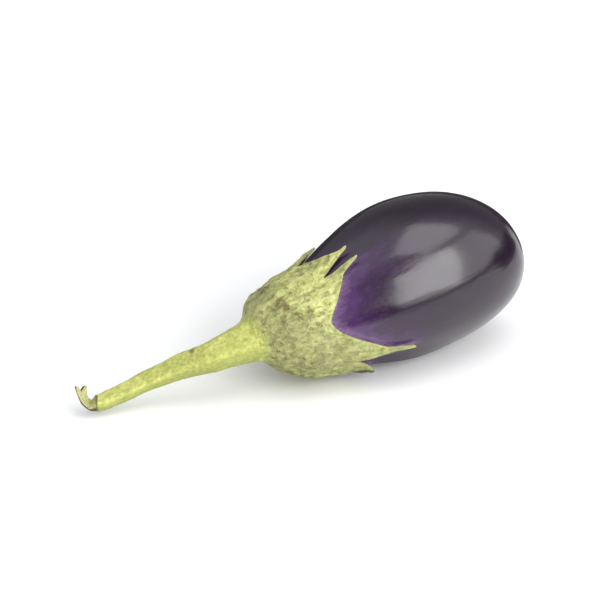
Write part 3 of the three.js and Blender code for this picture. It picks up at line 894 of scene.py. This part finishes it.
def swept_stem_tree(material):
    """Sweeps a ribbed round section along the curve that the tree is given."""
    g, given, out = geometry_group("swept_stem", [
        ("Foot radius", FLOAT, STEM_FOOT_RADIUS * MM),
        ("Far radius", FLOAT, STEM_FAR_RADIUS * MM),
        ("Taper", FLOAT, STEM_TAPER * MM),
        ("Ribs", FLOAT, float(STEM_RIBS)),
        ("Rib depth", FLOAT, STEM_RIB_DEPTH),
        ("Tear at", FLOAT, 1.0),
        ("Tear length", FLOAT, TEAR_LENGTH * MM),
        ("Raggedness", FLOAT, TEAR_RAGGED * MM),
        ("Tear slant", FLOAT, TEAR_SLANT * MM),
        ("Short prong", FLOAT, 0.75),
        ("Prong fork", FLOAT, 0.6),
        ("Tongue half width", FLOAT, TONGUE_HALF_WIDTH * MM),
        ("Tongue half thickness", FLOAT, TONGUE_HALF_THICK * MM),
        ("Tongue roll", FLOAT, TONGUE_ROLL),
        ("Gutter depth", FLOAT, TONGUE_GUTTER * MM),
        ("Tongue widening", FLOAT, 1.12),
        ("Square foot to", FLOAT, STEM_SQUARE_TO * MM),
        ("Waviness", FLOAT, 0.8 * MM),
        ("Wavy from", FLOAT, 2 * MM),
        ("Wavy past", FLOAT, 9 * MM),
    ])
    size = {"Vertices": STEM_COLUMNS, "Side Segments": STEM_ROWS, "Radius": 1.0, "Depth": 1.0}
    tube = g.add("GeometryNodeMeshCylinder", size, fill_type="TRIANGLE_FAN").outputs["Mesh"]
    spot = g.add("GeometryNodeInputPosition").outputs[0]
    x, y, z = g.add("ShaderNodeSeparateXYZ", {0: spot}).outputs
    length = g.add("GeometryNodeCurveLength", {0: given["Geometry"]}).outputs[0]
    straight = g.math("MULTIPLY", g.math("ADD", z, 0.5), length)
    round_about = g.vector("MULTIPLY", spot, (1, 1, 0))
    inside = g.vector("LENGTH", round_about)
    angle = g.math("ARCTAN2", y, x)
    cosine, sine = g.math("COSINE", angle), g.math("SINE", angle)

    # The strip ends in a long prong and a short one, with a fork between them.
    long_prong = g.spread(sine, -0.75, 0.0, 1.0, given["Prong fork"], smooth=True)
    short_prong = g.spread(sine, 0.0, 0.75, given["Prong fork"], given["Short prong"], smooth=True)
    reach = g.math("MAXIMUM", long_prong, short_prong)
    over = g.math("MAXIMUM", g.math("SUBTRACT", straight, given["Tear at"]), 0.0)
    cut = g.math("MULTIPLY", over, g.math("SUBTRACT", 1.0, reach))
    distance = g.math("SUBTRACT", straight, cut)

    # The path, with the foot square on the calyx.
    path = {"Curves": given["Geometry"], "Length": distance}
    sample = g.add("GeometryNodeSampleCurve", path, mode="LENGTH").outputs
    free = g.spread(distance, 0.0, given["Square foot to"], smooth=True)
    turn = {0: free, 4: tuple(-ALONG), 5: sample["Tangent"]}
    run = g.add("ShaderNodeMix", turn, data_type="VECTOR").outputs[1]
    ahead = g.vector("NORMALIZE", run)
    side = g.vector("NORMALIZE", g.vector("CROSS_PRODUCT", ahead, (0, 0, 1)))
    up = g.vector("CROSS_PRODUCT", side, ahead)

    # The section: round, and past the ragged tear only a strip of bark.
    flare = g.math("SUBTRACT", given["Foot radius"], given["Far radius"])
    fall = g.math("EXPONENT", g.math("MULTIPLY", g.math("DIVIDE", distance, given["Taper"]), -1.0))
    whole = g.math("MULTIPLY_ADD", flare, fall, given["Far radius"])
    jag = g.math("SUBTRACT", g.noise(round_about, 2.3, 3.0, 0.7), 0.5)
    past = g.math("SUBTRACT", distance, g.math("MULTIPLY", jag, given["Raggedness"]))
    past = g.math("SUBTRACT", past, g.math("MULTIPLY", cosine, given["Tear slant"]))
    torn_to = g.math("ADD", given["Tear at"], given["Tear length"])
    torn = g.spread(past, given["Tear at"], torn_to, smooth=True)
    widening = g.spread(distance, torn_to, length, 1.0, given["Tongue widening"])
    strip = g.math("MULTIPLY", given["Tongue half width"], widening)
    half_thick = given["Tongue half thickness"]
    high, wide = g.blend(torn, whole, half_thick), g.blend(torn, whole, strip)
    below = g.math("MULTIPLY", torn, g.math("SUBTRACT", whole, half_thick))
    rib = g.math("COSINE", g.math("MULTIPLY", angle, given["Ribs"]))
    ribbed = g.math("MULTIPLY", g.math("MULTIPLY_ADD", rib, given["Rib depth"], 1.0), inside)
    lift = g.math("MULTIPLY", g.math("MULTIPLY", cosine, high), ribbed)
    shift = g.math("MULTIPLY", g.math("MULTIPLY", sine, wide), ribbed)
    curled = g.math("MULTIPLY", g.math("MULTIPLY", sine, sine), given["Gutter depth"])
    lift = g.math("MULTIPLY_ADD", curled, torn, lift)
    roll = g.math("MULTIPLY", given["Tongue roll"], torn)
    turned = g.add("ShaderNodeVectorRotate", {"Vector": up, "Axis": ahead, "Angle": roll})
    rolled_up = turned.outputs[0]
    rolled_side = g.vector("CROSS_PRODUCT", ahead, rolled_up)
    place_at = g.vector("SUBTRACT", sample["Position"], g.vector("SCALE", up, scale=below))
    place_at = g.vector("ADD", place_at, g.vector("SCALE", rolled_up, scale=lift))
    place_at = g.vector("ADD", place_at, g.vector("SCALE", rolled_side, scale=shift))

    stem = tube
    for name, value in (("along", distance), ("rib", rib), ("torn", torn), ("turn", cosine)):
        keep = {"Geometry": stem, "Name": name, "Value": value}
        stem = g.add("GeometryNodeStoreNamedAttribute", keep, data_type="FLOAT").outputs[0]
    stem = g.add("GeometryNodeSetPosition", {"Geometry": stem, "Position": place_at}).outputs[0]

    # Slight knots and hollows, which leave the foot as it is.
    bumps = g.noise(g.add("GeometryNodeInputPosition").outputs[0], KNOTS_PER_MM / MM, 3.0, 0.55)
    grown = g.spread(g.stored("along"), given["Wavy from"], given["Wavy past"])
    wave = g.math("MULTIPLY", g.math("SUBTRACT", bumps, 0.5), given["Waviness"])
    normal = g.add("GeometryNodeInputNormal").outputs[0]
    offset = g.vector("SCALE", normal, scale=g.math("MULTIPLY", wave, grown))
    stem = g.add("GeometryNodeSetPosition", {"Geometry": stem, "Offset": offset}).outputs[0]
    return realized(g, out, stem, material)


def make_stem(material):
    """The stem, swept along its route, with its torn end held above the table."""
    line = bpy.data.curves.new("stem_route", "CURVE")
    line.dimensions = "3D"
    spline = line.splines.new("POLY")
    spline.points.add(len(ROUTE) - 1)
    for point, at in zip(spline.points, (ROUTE + JOINT) * MM):
        point.co = (*at, 1.0)
    route = add_object("stem_route", line)
    stem = run_on(route, "stem_skin", swept_stem_tree(material), Tear_at=float(TEAR_AT) * MM)
    bpy.data.objects.remove(route)
    mesh = stem.data
    points = np.zeros(3 * len(mesh.vertices))
    mesh.vertices.foreach_get("co", points)
    points = points.reshape(-1, 3)
    points[:, 2] = np.maximum(points[:, 2], 0)
    mesh.vertices.foreach_set("co", points.reshape(-1))
    middle = round_stem(SPECK_AT, np.array([SPECK_ANGLE]), 0.0)[0] + JOINT
    away = np.linalg.norm(points / MM - middle, axis=-1)
    store(mesh, "speck", SPECK_DARK * np.exp(-((away / SPECK_RADIUS) ** 4)))
    torn = np.zeros(len(points))
    mesh.attributes["torn"].data.foreach_get("value", torn)
    store(mesh, "downy", 1 - torn)
    return stem


# ==== The calyx ====

FILLET_LENGTH = 2.0  # how far the calyx runs up the stem
FILLET_TO = 0.22  # the share of the crown's outline that it starts from
FILLET_UNDER = 0.12  # its upper edge is hidden under the bark by this much
EDGE_ROUNDING = 0.012  # how far a sepal's edge swells, as a share of its length
COLLAR_RADIUS = float(fruit_radius(COLLAR_AT)) + FIT_GAP + CALYX_THICK

# Its relief: how far each form stands out, and its size.
NET_HEIGHT, NET_SIZE = 0.16, 2.0
NET_STRETCH = (0.6, 1, 1)
GRAIN_HEIGHT, GRAIN_SIZE = 0.11, 0.9
LOBE_HEIGHT, LOBE_SIZE = 0.3, 4.5
WRINKLE_HEIGHT, WRINKLE_SIZE = 0.2, 1.6
WRINKLE_STRETCH = (0.3, 1, 1)
ROLL_HEIGHT = 0.2  # of the sepals' rolled edges
FOLD_HEIGHT, FOLD_WIDTH = 0.45, 0.9
CORK_HEIGHT = 0.12
CORK_RAGGED, CORK_RAGGED_SIZE = 1.1, 1.1
STRING_SHARE, STRING_SIZE = 0.34, 1.2  # of the cork in strings along the fold

# Patches of brown cork on the calyx: distance, angle and size.
CORK_PATCHES = [
    (7.3, -19, 1.3), (5.8, -16, 1.1), (6.9, 15, 1.0), (5.6, 18, 1.0), (6.8, 28, 1.0),
    (5.8, 38, 0.9), (8.1, 40, 1.0), (8.5, 45, 0.7), (5.1, 43, 0.8), (10.2, 91, 0.8),
    (7.1, 97, 0.9), (8.4, 103, 0.9), (6.3, 113, 0.8), (9.0, 116, 0.8), (6.3, 136, 0.8),
    (4.0, 136, 1.0), (5.1, 139, 1.0), (6.0, 214, 1.3), (10.0, 262, 1.1), (5.0, 300, 1.2),
]

# The fold along the calyx's shoulder, down to the deepest notch: distance and angle.
SHOULDER_FOLD = [(6.0, -34), (6.4, -16), (6.9, 8), (7.8, 30), (10.4, 46), (14.5, 61)]

# The ranges of distance or angle over which the calyx's painted light and shade, and its wear, come
# in or fade.
FACE_PAST_FOLD = (-0.8, 1.2)
FACE_FROM_ANGLE = (-70, -40)
MARGIN_FACE_TO_ANGLE = 118
WEAR_AND_SHADE_FROM_ANGLE = (70, 105)
WEAR_AND_SHADE_TO = (15, 22)
UNDER_SEPAL_SHADE_FROM = (18.9, 19.8)
UNDER_SEPAL_SHADE_FROM_ANGLE = (132, 137)
UNDER_SEPAL_SHADE_TO_ANGLE = (158, 170)
UNDER_SEPAL_SHADE_DARK = 0.85


def crown_outline(t, angle):
    """The crown's outline at an angle, as (distance, radius) at shares t of its length."""
    heel = (1 + np.cos(np.radians(angle - HEEL_TOWARDS))) / 2
    along, out = (lerp(CREASE_RISE, reach, heel) for reach in HEEL_LEAVES)
    bulge_at = lerp(CROWN_BULGE_AT, HEEL_BULGE_AT, heel)
    distances = (FIT_GAP, FIT_GAP + along, bulge_at, COLLAR_AT)
    bulge = CROWN_FULLNESS * COLLAR_RADIUS
    radii = (STEM_FOOT_RADIUS, STEM_FOOT_RADIUS + out, bulge, COLLAR_RADIUS)
    return cubic(t, distances), cubic(t, radii)


def crown_point(s, angle):
    """A point on the plain outside of the calyx, at a distance short of the sepals."""
    shares = np.linspace(0, 1, 400)
    over_fruit = fruit_radius(s) + FIT_GAP + CALYX_THICK
    over_crown = [np.interp(at, *crown_outline(shares, turned)) for at, turned in zip(s, angle)]
    radius = np.where(s < COLLAR_AT, over_crown, over_fruit)
    return place(s, angle, radius * unevenness(s, angle))


def away_from_line(points, line):
    """How far points lie from a line of short straight stretches."""
    nearest = np.full(points.shape[:-1], np.inf)
    for a, b in zip(line, line[1:]):
        along = b - a
        t = np.clip((points - a) @ along / (along @ along), 0, 1)
        nearest = np.minimum(nearest, np.linalg.norm(points - a - t[..., None] * along, axis=-1))
    return nearest


def calyx_relief(points, across, share, out):
    """What stands proud of the calyx's plain surface, and its cork."""
    rib = RIB_HEIGHT * (1 - share) * np.exp(-((across / RIB_WIDTH) ** 2))
    net = NET_HEIGHT * (cells_at(points * NET_STRETCH, NET_SIZE) - 0.6)
    grain = GRAIN_HEIGHT * noise_at(points, GRAIN_SIZE, seed=2.0)
    lobes = LOBE_HEIGHT * noise_at(points, LOBE_SIZE, seed=4.0)
    wrinkles = WRINKLE_HEIGHT * noise_at(points * WRINKLE_STRETCH, WRINKLE_SIZE, seed=6.0)
    rolled = ROLL_HEIGHT * smoothstep(out, 0.7, 0.95)
    fold_s, fold_angle = np.array(SHOULDER_FOLD).T
    from_fold = away_from_line(points, crown_point(fold_s, fold_angle))
    fold = np.exp(-((from_fold / FOLD_WIDTH) ** 2))
    cork = np.zeros(points.shape[:-1])
    for s, angle, size in CORK_PATCHES:
        middle = crown_point(np.array([s]), np.array([float(angle)]))
        ragged = CORK_RAGGED * noise_at(points, CORK_RAGGED_SIZE, seed=s)
        away = np.linalg.norm(points - middle, axis=-1) + ragged
        cork = np.maximum(cork, 1 - smoothstep(away, 0.0, 1.5 * size))
    strings = np.clip(STRING_SHARE + noise_at(points, STRING_SIZE, seed=9.0), 0, 0.9)
    cork = np.maximum(cork, strings * fold)
    plain = rib + net + grain + lobes + wrinkles + rolled
    return plain + FOLD_HEIGHT * fold + CORK_HEIGHT * cork, cork


def calyx_painted_light(s, angle, across, out):
    """Where the sepals are painted as lit, past the fold and on some margins, and where wear and
    painted shade darken the lower crown.
    """
    fold_s, fold_angle = np.array(SHOULDER_FOLD).T
    turned = signed(angle)
    past = s - np.interp(turned, fold_angle, fold_s)
    upper = smoothstep(past, *FACE_PAST_FOLD) * smoothstep(turned, *FACE_FROM_ANGLE)
    margin = smoothstep(out, 0.45, 0.9) * smoothstep(-across, 0.2, 0.6)
    face = np.where(turned < fold_angle[-1], upper, margin * (turned < MARGIN_FACE_TO_ANGLE))
    worn = smoothstep(turned, *WEAR_AND_SHADE_FROM_ANGLE) * (1 - smoothstep(s, *WEAR_AND_SHADE_TO))
    return face, worn


def paint_under_sepal_shade(s, angle):
    """Painted shade on the lowest sepal's margin, where it turns towards the table."""
    turned = signed(angle)
    shade_under = smoothstep(s, *UNDER_SEPAL_SHADE_FROM) * (1 - smoothstep(turned, *UNDER_SEPAL_SHADE_TO_ANGLE))
    return UNDER_SEPAL_SHADE_DARK * shade_under * smoothstep(turned, *UNDER_SEPAL_SHADE_FROM_ANGLE)


def make_calyx(material):
    """The cup of sepals, from the stem out to their tips and back inside."""
    c = COLUMN
    angle, none = c["angle"], np.zeros(len(c["angle"]))
    rows = []  # each: its points square on the axis, and its layers

    def row(s, at, radius, share=none, out=0.0, lining=0.0, bare=1.0):
        values = np.broadcast_arrays(s, at, radius, share, out, lining, bare)
        rows.append(np.stack(values))

    for t in np.linspace(FILLET_TO, 1, CROWN_ROWS):
        s, radius = crown_outline(t, angle)
        row(s, angle, radius * unevenness(s, angle), bare=smoothstep(t, FILLET_TO, 0.5))
    for t in np.linspace(0, 1, COLLAR_ROWS)[1:]:
        s = lerp(COLLAR_AT, c["root"], t)
        row(s, angle, skin_radius(s, angle) + FIT_GAP + CALYX_THICK)
    for out in np.linspace(0, 1, SEPAL_ROWS)[1:]:
        s, at, share = on_sepal(out)
        proud = FIT_GAP + lerp(CALYX_THICK, CALYX_TIP_THICK, out) + c["lift"] * share**2
        row(s, at, skin_radius(s, at) + proud, share, out)
    for turn in np.linspace(0, 1, EDGE_ROWS + 2)[1:-1]:
        s, at, share = on_sepal(1 + EDGE_ROUNDING * math.sin(math.pi * turn))
        proud = FIT_GAP + CALYX_TIP_THICK * (1 - turn) + c["lift"] * share**2
        row(s, at, skin_radius(s, at) + proud, share, 1.0, turn)
    for out in np.linspace(1, 0, LINING_ROWS):
        s, at, share = on_sepal(out)
        row(s, at, skin_radius(s, at) + FIT_GAP + c["lift"] * share**2, share, out, 1.0)
    for t in np.linspace(1, 0, CROWN_ROWS)[1:-1]:
        s, radius = bezier(FRUIT_OUTLINE[0], np.array(t))
        wide = radius * unevenness(s, angle) + FIT_GAP * t**0.5
        row(s - FIT_GAP * (1 - t) ** 0.5, angle, wide, none, 0.0, 1.0)

    s, at, radius, share, out, lining, bare = np.stack(rows, axis=1)
    across = np.broadcast_to(c["across"], s.shape)
    relief, cork = calyx_relief(place(s, at, radius), across, share, out)
    face, worn = calyx_painted_light(s, at, across, out)
    outside = place(s, at, radius + relief * (1 - lining) * bare)

    # Where the calyx runs up the stem: from just under the bark, out to the crown.
    low = round_stem(FILLET_LENGTH, angle, -FILLET_UNDER)
    middle = round_stem(0.35 * FILLET_LENGTH, angle, 0.05)
    leaving = outside[0] + 1.1 * (outside[0] - outside[1])
    bends = np.stack([low, middle, leaving, outside[0]])
    fillet = cubic(np.linspace(0, 1, FOOT_ROWS)[:-1, None, None], bends)
    rings = settle(np.concatenate([fillet, outside]))

    def with_foot(values, on_foot=0.0):
        return np.concatenate([np.broadcast_to(on_foot, (FOOT_ROWS - 1, len(angle))), values])

    up_the_stem = 1 - smoothstep(np.arange(FOOT_ROWS - 1)[:, None] / FOOT_ROWS, 0.0, 0.95)
    layers = {
        "rim": with_foot(smoothstep(out, 0.8, 0.97)),
        "cork": with_foot(cork),
        "face": with_foot(face),
        "worn": with_foot(worn),
        "lining": with_foot(smoothstep(lining, 0.6, 1.0)),
        "foot": with_foot(np.zeros(s.shape), up_the_stem),
        "downy": with_foot(1 - smoothstep(lining, 0.0, 0.3), 1.0),
        "tucked": with_foot(paint_under_sepal_shade(s, at)),
    }
    top = settle(round_stem(FILLET_LENGTH, angle, 0).mean(axis=0))
    hollow = settle(on_axis(CROWN_AT - FIT_GAP))
    return closed_surface("calyx_skin", top, rings, hollow, layers, material)


# ==== What is scattered over the surfaces ====

SCABS_PER_MM2 = 1.2
SCAB_RADIUS = 0.3
SCAB_SIZES = {"Smallest": 0.3, "Largest": 0.8}
SCAB_FLATNESS, SCAB_LEAN = 0.35, 0.2
HAIRS_PER_MM2 = 2.0
HAIR_LENGTH = 0.45
HAIR_RADIUS, HAIR_TIP_RADIUS = 0.02, 0.004
HAIR_LEAN = 0.6  # the most that a hair leans over, in radians


def scatter_tree(name, material, mesh_node, mesh_inputs, flat, lean):
    """Scatters one small mesh over the faces, as thickly as an attribute says."""
    g, given, out = geometry_group(name, [
        ("Density", FLOAT, 1 / MM**2),
        ("Where", "NodeSocketString", "cork"),
        ("Not where", "NodeSocketString", "lining"),
        ("Smallest", FLOAT, 0.5),
        ("Largest", FLOAT, 1.0),
        ("Seed", "NodeSocketInt", SEED),
    ])
    keep = g.math("SUBTRACT", 1.0, g.stored(given["Not where"]), clamp=True)
    wanted = g.math("MULTIPLY", g.math("MULTIPLY", g.stored(given["Where"]), keep),
                    given["Density"])
    spots = {"Mesh": given["Geometry"], "Density": wanted, "Seed": given["Seed"]}
    found = g.add("GeometryNodeDistributePointsOnFaces", spots).outputs
    leaning = {"Min": (-lean, -lean, 0), "Max": (lean, lean, math.tau), "Seed": given["Seed"]}
    random_turn = g.add("FunctionNodeRandomValue", leaning, data_type="FLOAT_VECTOR").outputs[0]
    turned = {"Rotation": found["Rotation"], "Rotate By": random_turn}
    rotation = g.add("FunctionNodeRotateRotation", turned, rotation_space="LOCAL").outputs[0]
    sizes = {2: given["Smallest"], 3: given["Largest"], "Seed": given["Seed"]}
    size = g.add("FunctionNodeRandomValue", sizes, data_type="FLOAT").outputs[1]
    one = g.add(mesh_node, mesh_inputs).outputs["Mesh"]
    one = g.add("GeometryNodeTransform", {"Geometry": one, "Scale": (1, 1, flat)}).outputs[0]
    placed = {"Points": found["Points"], "Instance": one, "Rotation": rotation,
              "Scale": g.add("ShaderNodeCombineXYZ", {0: size, 1: size, 2: size}).outputs[0]}
    scattered = g.add("GeometryNodeInstanceOnPoints", placed).outputs[0]
    return realized(g, out, scattered, material)


def make_scabs(calyx, material):
    """Raised flecks of cork on the calyx."""
    ball = {"Radius": SCAB_RADIUS * MM, "Subdivisions": 2}
    tree = scatter_tree("cork_flecks", material, "GeometryNodeMeshIcoSphere", ball,
                        SCAB_FLATNESS, SCAB_LEAN)
    density = SCABS_PER_MM2 / MM**2
    return run_on(calyx, "cork_scabs", tree, Density=density, Where="cork", **SCAB_SIZES)


def make_down(surface, name, material, not_where):
    """Short stiff hairs, as the calyx and stem of an eggplant have."""
    hair = {"Vertices": 3, "Radius Top": HAIR_TIP_RADIUS * MM,
            "Radius Bottom": HAIR_RADIUS * MM, "Depth": HAIR_LENGTH * MM}
    tree = scatter_tree(name + "_hairs", material, "GeometryNodeMeshCone", hair, 1.0, HAIR_LEAN)
    density = HAIRS_PER_MM2 / MM**2
    return run_on(surface, name, tree, Density=density, Where="downy", Not_where=not_where)


# ==== The room ====

TABLE_SIZE = 30.0  # in metres, so that its edges are out of sight

# Panels of soft light: name, degrees to the right of where the camera looks, degrees
# up, distance in metres, width and height in degrees, and radiance.
PANELS = [
    ("window_panel", 139, 25, 1.6, 41, 48, 4.5),
    ("ceiling_panel", 100, 72, 1.5, 40, 32, 2.1),
    ("side_wall", 96, 26, 2.2, 46, 44, 1.0),
]

# The even light of the room, and its darker walls: degrees to the right and up, the
# cosines of the angle from there where the dark starts and is full, and how dark it is.
ROOM_COLOUR = (0.97, 0.98, 1.0, 1.0)
ROOM_STRENGTH = 1.05
DARK_WALLS = [(8, 10, 0.35, 0.9, 0.8), (184, 30, 0.72, 0.97, 0.65)]

# Dark cards round the eggplant, which only its gloss shows. The standing ones are
# given as (degrees to the right of where the camera looks, distance, low, high).
FRONT_CARD = [
    (46, 150, 10, 56), (66, 150, 1, 64), (88, 150, 1, 66), (92, 150, 16, 60), (100, 150, 28, 43),
    (118, 120, 8, 22), (139, 92, 0.5, 9), (169, 85, 0.5, 9), (177, 85, 0.5, 34), (196, 85, 0.5, 30),
]
BACK_CARD = [(-84, 62, 0.5, 26), (-50, 62, 0.5, 36), (20, 62, 0.5, 38), (32, 66, 0.5, 34)]
CARD_MIDDLE = (15.0, -15.0)
CARD_STEPS = 60
# A painted shadow under the eggplant: a dark oval that only the gloss mirrors, deepening the
# contact shadow seen in it.
REFLECTED_SHADOW_CARD = (-12.0, -3.0, 32.0, 17.0)  # its middle and its half length and width
REFLECTED_SHADOW_HEIGHT = 0.1
REFLECTED_SHADOW_COVER = ((0.4, 0.62), (0.6, 0.5), (0.8, 0.22), (1.0, 0.0))  # it thins towards its edge


def make_table():
    bpy.ops.mesh.primitive_plane_add(size=TABLE_SIZE)
    table = bpy.context.object
    table.name = "table"
    table.data.materials.append(table_top())


def towards(azimuth, elevation):
    """A direction, with azimuth measured to the right of where the camera looks."""
    turn = VIEW_AZIMUTH - math.radians(azimuth)
    level = math.cos(math.radians(elevation))
    height = math.sin(math.radians(elevation))
    return Vector((-math.sin(turn) * level, math.cos(turn) * level, height))


def soft_light(name, azimuth, elevation, distance, width, height, radiance):
    """A rectangular panel of even light, facing the eggplant, as many degrees wide and high."""
    across = 2 * distance * math.tan(math.radians(width) / 2)
    tall = 2 * distance * math.tan(math.radians(height) / 2)
    light = bpy.data.lights.new(name, "AREA")
    light.shape = "RECTANGLE"
    light.size, light.size_y = across, tall
    light.energy = radiance * math.pi * across * tall
    panel = add_object(name, light)
    direction = towards(azimuth, elevation)
    panel.location = direction * distance
    panel.rotation_euler = direction.to_track_quat("Z", "Y").to_euler()
    panel.visible_camera = False


def make_card(name, corners, faces, material, cover):
    """A dark card that covers what its gloss would mirror, as thickly as cover says."""
    mesh = bpy.data.meshes.new(name)
    mesh.from_pydata([Vector(corner) * MM for corner in corners], [], faces)
    store(mesh, "cover", cover)
    mesh.materials.append(material)
    card = add_object(name, mesh)
    card.visible_camera = card.visible_diffuse = card.visible_shadow = False


def make_standing_card(name, route, material):
    """A card that stands round the eggplant along a route, with a shaped edge."""
    azimuths, *sizes = np.array(route).T
    corners = []
    for azimuth in np.linspace(azimuths[0], azimuths[-1], CARD_STEPS):
        distance, low, high = (np.interp(azimuth, azimuths, size) for size in sizes)
        foot = Vector((*CARD_MIDDLE, 0)) + towards(azimuth, 0) * distance
        corners += [foot + Vector((0, 0, height)) for height in (low, high)]
    faces = [(i, i + 2, i + 3, i + 1) for i in range(0, len(corners) - 2, 2)]
    make_card(name, corners, faces, material, np.ones(len(corners)))


def make_reflected_shadow_card(name, material):
    """A painted shadow for the gloss: a dark oval card just above the table, which thins towards
    its edge.
    """
    x, y, long, wide = REFLECTED_SHADOW_CARD
    turns = np.linspace(0, 2 * math.pi, CARD_STEPS, endpoint=False)
    corners = [(x + r * long * math.cos(a), y + r * wide * math.sin(a), REFLECTED_SHADOW_HEIGHT)
               for r, _ in REFLECTED_SHADOW_COVER for a in turns]
    faces = [tuple(range(CARD_STEPS))]
    for start in range(0, CARD_STEPS * (len(REFLECTED_SHADOW_COVER) - 1), CARD_STEPS):
        for i in range(CARD_STEPS):
            near, beside = start + i, start + (i + 1) % CARD_STEPS
            faces.append((near, near + CARD_STEPS, beside + CARD_STEPS, beside))
    make_card(name, corners, faces, material, [c for _, c in REFLECTED_SHADOW_COVER for _ in turns])


def make_cards():
    """The dark things that would stand about, and a painted shadow under the eggplant, which only
    the gloss shows.
    """
    material, g, shader = new_material("card_black")
    shader.inputs["Base Color"].default_value = (0.04, 0.04, 0.04, 1.0)
    shader.inputs["Roughness"].default_value = 0.9
    g.feed(shader.inputs["Alpha"], g.attribute("cover"))
    make_standing_card("front_card", FRONT_CARD, material)
    make_standing_card("back_card", BACK_CARD, material)
    make_reflected_shadow_card("reflected_shadow_card", material)


def make_lights():
    """The window, the ceiling and the room's own even light, darker on two sides."""
    for panel in PANELS:
        soft_light(*panel)
    world = bpy.data.worlds.new("room")
    world.use_nodes = True
    back = world.node_tree.nodes["Background"]
    back.inputs["Color"].default_value = ROOM_COLOUR
    g = Graph(world.node_tree)
    direction = g.add("ShaderNodeTexCoord").outputs["Generated"]
    dark = []
    for azimuth, elevation, start, full, depth in DARK_WALLS:
        ends = {0: direction, 1: towards(azimuth, elevation)}
        facing = g.add("ShaderNodeVectorMath", ends, operation="DOT_PRODUCT").outputs["Value"]
        dark.append(g.spread(facing, start, full, 0.0, depth, smooth=True))
    g.feed(back.inputs["Strength"], g.math("SUBTRACT", ROOM_STRENGTH, g.math("ADD", *dark)))
    bpy.context.scene.world = world
    bpy.context.scene.view_settings.view_transform = "Standard"


def make_camera():
    camera = bpy.data.cameras.new("camera")
    camera.sensor_width = 36.0
    camera.lens = camera.sensor_width * VIEW_DISTANCE / VIEW_WIDTH
    camera.clip_start, camera.clip_end = 0.01, 60.0
    eye = add_object("camera", camera)
    looking = -towards(180, math.degrees(VIEW_ELEVATION))
    eye.location = (Vector(AIM_AT) - looking * VIEW_DISTANCE) * MM
    eye.rotation_euler = looking.to_track_quat("-Z", "Y").to_euler()
    bpy.context.scene.camera = eye


# ==== The eggplant ====

make_camera()
make_table()
make_cards()
make_lights()

fruit = make_fruit(eggplant_skin())
calyx = make_calyx(sepal_flesh())
stem = make_stem(stem_bark())
scabs = make_scabs(calyx, cork_scab())

down = pale_down()
PIECES = [
    (fruit, "fruit", "skin"),
    (calyx, "calyx", "sepal"),
    (scabs, "calyx", "sepal"),
    (make_down(calyx, "calyx_down", down, "lining"), "calyx", "sepal"),
    (stem, "stem", "stem_bark"),
    (make_down(stem, "stem_down", down, "torn"), "stem", "stem_bark"),
]
for piece, node, finish in PIECES:
    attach(piece, "root")
    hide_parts(node)
